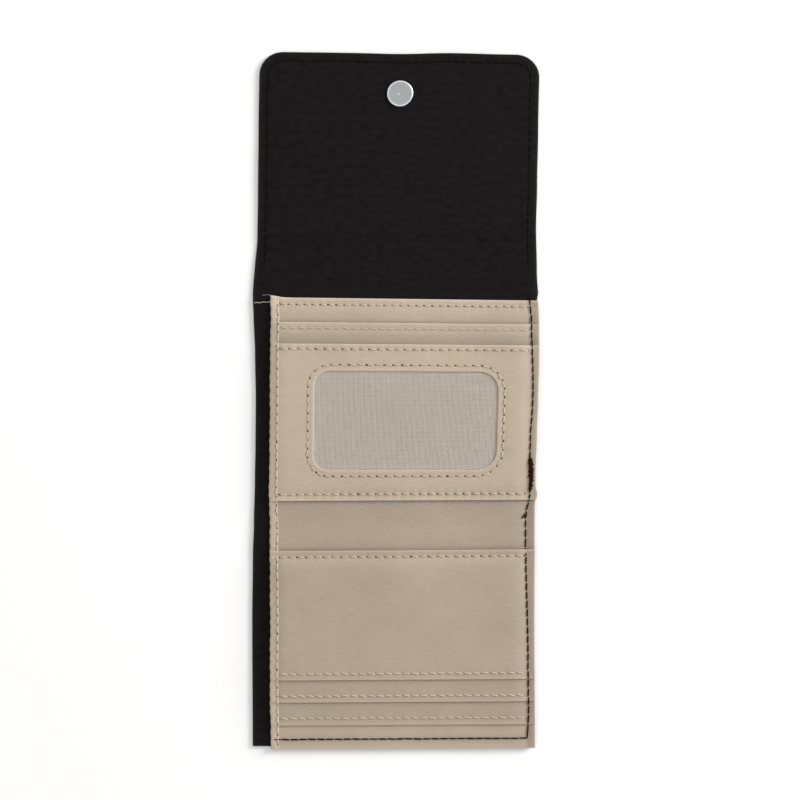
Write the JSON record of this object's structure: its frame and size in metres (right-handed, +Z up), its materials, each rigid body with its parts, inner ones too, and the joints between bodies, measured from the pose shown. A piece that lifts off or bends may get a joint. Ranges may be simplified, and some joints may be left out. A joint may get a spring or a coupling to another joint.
{
  "type": "bifold wallet",
  "caption": "Slim cloth bifold wallet laid open, with a snap flap, a net ID window, stepped card pockets and a side-opening note compartment.",
  "frame": {"origin": "under the middle of the wallet laid open and flat, at the level of the magnet case's face", "axes": "+Z up out of the inside face, +Y from the front half towards the flap's tip, +X to the right with the flap at the top, so the note compartment opens towards -X"},
  "size_m": [0.105, 0.257, 0.0049],
  "materials": {
    "black_cloth": "matt black woven cloth, fine plain weave",
    "black_lining": "matt black lining cloth, fine plain weave",
    "stiffening_board": "grey-brown board, hidden",
    "beige_twill": "light brown cotton twill, fine diagonal ribs",
    "window_net": "fine pale grey net, see-through",
    "beige_thread": "light brown sewing thread",
    "black_thread": "black sewing thread",
    "snap_metal": "nickel plate, softly polished, bright rim",
    "snap_backing": "plain steel, hidden",
    "magnet": "sintered magnet, hidden"
  },
  "bodies": {
    "centre_half": {"centre_outer_cloth": "black_cloth", "centre_board": "stiffening_board", "centre_lining": "black_lining", "centre_liner": "beige_twill", "centre_liner_hem": "beige_twill", "centre_seam_allowance": "beige_twill", "centre_card_pocket": "beige_twill", "centre_pocket_seams": "beige_twill", "id_window_panel": "beige_twill", "id_window_net": "window_net", "id_window_thread": "beige_thread", "liner_top_thread": "beige_thread", "centre_pocket_thread": "beige_thread", "window_mouth_thread": "beige_thread", "window_base_thread": "beige_thread", "centre_hem_thread": "beige_thread", "centre_edge_thread": "black_thread", "edge_bartack": "black_thread"},
    "fold_spine": {"fold_spine_outer_cloth": "black_cloth", "fold_spine_lining": "black_lining", "fold_spine_liner": "beige_twill", "fold_spine_hem": "beige_twill", "fold_spine_thread": "beige_thread"},
    "front_half": {"front_outer_cloth": "black_cloth", "front_board": "stiffening_board", "front_lining": "black_lining", "front_liner": "beige_twill", "front_liner_hem": "beige_twill", "front_seam_allowance": "beige_twill", "front_card_pocket_low": "beige_twill", "front_card_pocket_middle": "beige_twill", "front_card_pocket_top": "beige_twill", "front_pocket_seams": "beige_twill", "front_base_thread": "beige_thread", "front_low_pocket_thread": "beige_thread", "front_middle_pocket_thread": "beige_thread", "front_top_pocket_thread": "beige_thread", "front_hem_thread": "beige_thread", "front_edge_thread": "black_thread", "magnet_case": "snap_metal", "snap_magnet": "magnet", "magnet_rivet": "snap_backing", "magnet_washer": "snap_backing"},
    "flap_spine": {"flap_spine_outer_cloth": "black_cloth", "flap_spine_lining": "black_lining"},
    "flap": {"flap_outer_cloth": "black_cloth", "flap_board": "stiffening_board", "flap_lining": "black_lining", "flap_edge_thread": "black_thread", "snap_plate": "snap_metal", "snap_plate_washer": "snap_backing"}
  },
  "joints": [
    {"name": "fold_back_crease", "type": "hinge", "parent": "centre_half", "child": "fold_spine", "pos_m": [0, -0.0447, 0.0033], "axis": [-1, 0, 0], "range_deg": [0, 90]},
    {"name": "fold_front_crease", "type": "hinge", "parent": "fold_spine", "child": "front_half", "pos_m": [0, -0.0479, 0.0033], "axis": [-1, 0, 0], "range_deg": [0, 90]},
    {"name": "flap_near_crease", "type": "hinge", "parent": "centre_half", "child": "flap_spine", "pos_m": [0, 0.0392, 0.0021], "axis": [1, 0, 0], "range_deg": [0, 90]},
    {"name": "flap_far_crease", "type": "hinge", "parent": "flap_spine", "child": "flap", "pos_m": [0, 0.0478, 0.0021], "axis": [1, 0, 0], "range_deg": [0, 90]}
  ],
  "couplings": [
    {"joint": "fold_back_crease", "follows": "fold_front_crease", "ratio": 1},
    {"joint": "flap_near_crease", "follows": "flap_far_crease", "ratio": 1}
  ]
}
